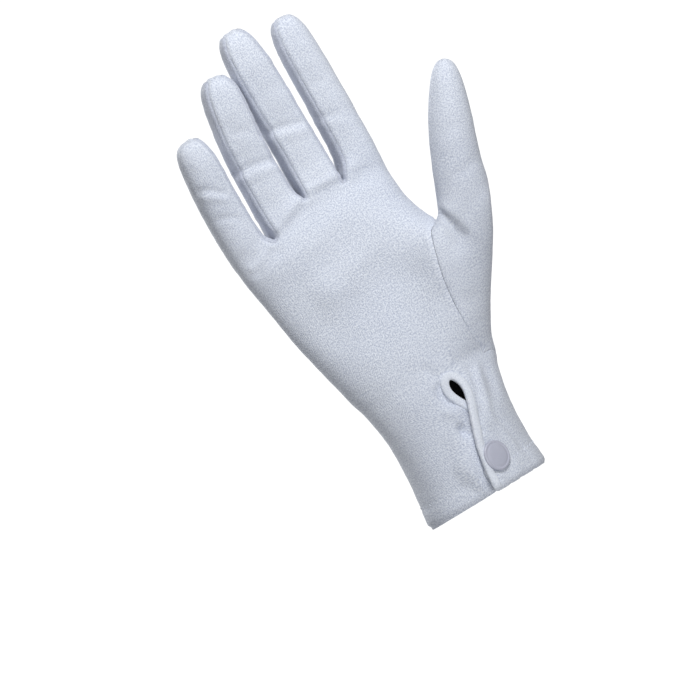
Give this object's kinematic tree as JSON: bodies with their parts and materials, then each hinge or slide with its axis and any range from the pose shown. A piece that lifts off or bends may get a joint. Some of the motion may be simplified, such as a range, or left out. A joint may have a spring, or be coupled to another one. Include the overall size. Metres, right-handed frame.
{
  "type": "white dress glove",
  "caption": "Right-hand cotton dress glove, filled as if worn, with fourchettes, raised points on the back and a wrist vent closed by a press stud.",
  "frame": {"origin": "centre of the cuff's mouth, where the wrist goes in", "axes": "+Z along the glove from the cuff to the fingertips, -Y out of the palm, +X to the thumb"},
  "size_m": [0.1282, 0.0704, 0.2419],
  "materials": {
    "cotton": "fine knit, matt",
    "binding": "folded knit, matt",
    "snap": "smooth, satin"
  },
  "bodies": {
    "root": {"hand": "cotton", "thumb": "cotton", "fourchette_index_middle": "cotton", "fourchette_middle_ring": "cotton", "fourchette_ring_little": "cotton", "vent_binding": "binding", "snap_cap": "snap", "snap_stud": "snap"}
  },
  "joints": []
}
